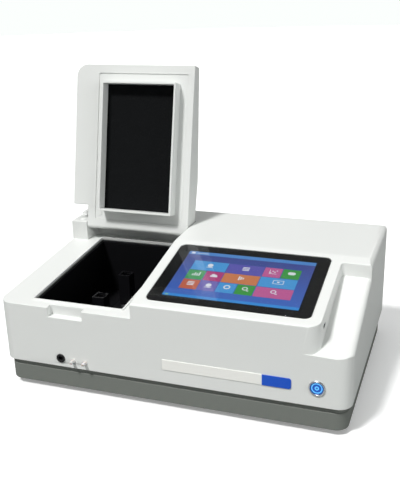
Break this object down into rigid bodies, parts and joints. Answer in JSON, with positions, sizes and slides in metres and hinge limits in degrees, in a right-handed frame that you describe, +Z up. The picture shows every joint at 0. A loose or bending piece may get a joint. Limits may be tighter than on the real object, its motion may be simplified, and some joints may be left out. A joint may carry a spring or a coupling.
{
  "type": "bench spectrophotometer",
  "caption": "Bench spectrophotometer with a tilted touch screen and a deep sample compartment under a lid that swings up and back.",
  "frame": {"origin": "centre of the bounding box on the table, under the feet, with the lid open", "axes": "+X to the right along the front, +Y to the back, +Z up"},
  "size_m": [0.465, 0.327, 0.3971],
  "materials": {
    "white_plastic": "fine satin moulded plastic",
    "grey_plastic": "fine textured grey plastic",
    "black_plastic": "matt black plastic",
    "black_rubber": "soft matt rubber",
    "black_foam": "open-cell foam sheet",
    "anodised_black": "black anodised",
    "machined_aluminium": "machined",
    "sheet_steel": "zinc plated",
    "screw_steel": "bright zinc",
    "chrome_ring": "polished",
    "screen_black_glass": "glossy, black printed border",
    "lcd_picture": null,
    "silver_strip": "brushed, blank",
    "blue_badge": "blank enamel",
    "blue_cap": "translucent, lit",
    "light_ring": "lit",
    "nipple_plastic": "pale nylon",
    "clear_quartz": "clear",
    "mirror_coating": "aluminised",
    "brass": "turned",
    "circuit_board": "solder resist",
    "fan_black": "moulded",
    "plated_wire": "plated wire"
  },
  "bodies": {
    "casing": {"upper_cover": "white_plastic", "base_tray": "grey_plastic", "rubber_feet": "black_rubber", "foot_screws": "screw_steel", "cover_screws": "screw_steel", "compartment_liner": "black_plastic", "sample_cell_holder": "anodised_black", "reference_cell_holder": "anodised_black", "cell_springs": "screw_steel", "holder_screws": "screw_steel", "beam_windows": "clear_quartz", "hinge_pins": "screw_steel", "ear_plug": "white_plastic", "screen_glass": "screen_black_glass", "lcd_panel": "lcd_picture", "display_bracket": "sheet_steel", "display_board": "circuit_board", "nameplate_strip": "silver_strip", "badge_plate": "blue_badge", "power_bezel": "chrome_ring", "power_switch_body": "black_plastic", "power_nut": "chrome_ring", "port_grommet": "black_rubber", "hose_nipples": "nipple_plastic", "side_usb_port": "sheet_steel", "optical_bed": "machined_aluminium", "bed_mounts": "black_rubber", "lamp_house": "sheet_steel", "deuterium_lamp": "clear_quartz", "halogen_lamp": "clear_quartz", "mirror_motor": "sheet_steel", "filter_motor": "sheet_steel", "monochromator_case": "anodised_black", "monochromator_lid": "anodised_black", "slit_plates": "screw_steel", "concave_mirrors": "mirror_coating", "stepper_motor": "sheet_steel", "beam_mirrors": "mirror_coating", "detectors": "black_plastic", "power_supply": "sheet_steel", "main_board": "circuit_board", "fan_frame": "fan_black", "fan_guard": "plated_wire", "mains_inlet": "black_plastic", "data_ports": "sheet_steel"},
    "lid": {"lid_shell": "white_plastic", "lid_panel": "white_plastic", "lid_seal_frame": "white_plastic", "lid_foam": "black_foam", "lid_bumper": "white_plastic", "hinge_bushes": "nipple_plastic"},
    "power_button": {"power_cap": "blue_cap", "power_light_rings": "light_ring"},
    "fuse_tray": {"fuse_drawer": "black_plastic"},
    "fan": {"fan_rotor": "fan_black"},
    "filters": {"filter_wheel": "anodised_black"},
    "source_selector": {"source_mirror": "mirror_coating"},
    "grating_table": {"grating_mount": "machined_aluminium", "grating": "mirror_coating"},
    "pinion": {"drive_pinion": "brass"}
  },
  "joints": [
    {"name": "lid_hinge", "type": "hinge", "parent": "casing", "child": "lid", "pos_m": [0, 0.0765, 0.1636], "axis": [1, 0, 0], "range_deg": [0, 107.5]},
    {"name": "power_push", "type": "slide", "parent": "casing", "child": "power_button", "axis": [0, 1, 0], "range_m": [0, 0.0015], "stiffness_N_per_m": 700, "springref_m": -0.001},
    {"name": "fuse_pull", "type": "slide", "parent": "casing", "child": "fuse_tray", "axis": [0, 1, 0], "range_m": [0, 0.012]},
    {"name": "fan_spin", "type": "hinge", "parent": "casing", "child": "fan", "pos_m": [0.0325, 0.143, 0.1], "axis": [0, 1, 0], "continuous": true},
    {"name": "filter_spin", "type": "hinge", "parent": "casing", "child": "filters", "pos_m": [0.0125, 0.0645, 0.061], "axis": [0, 1, 0], "continuous": true},
    {"name": "source_swing", "type": "hinge", "parent": "casing", "child": "source_selector", "pos_m": [0.0125, 0.1025, 0.075], "axis": [0, 0, 1], "range_deg": [0, 90]},
    {"name": "grating_turn", "type": "hinge", "parent": "casing", "child": "grating_table", "pos_m": [0.0305, 0.0045, 0.06], "axis": [0, 0, 1], "range_deg": [-25, 30]},
    {"name": "pinion_spin", "type": "hinge", "parent": "casing", "child": "pinion", "pos_m": [0.0755, 0.0045, 0.088], "axis": [0, 0, 1], "range_deg": [-120, 100]}
  ],
  "couplings": [
    {"joint": "pinion_spin", "follows": "grating_turn", "ratio": -4}
  ]
}
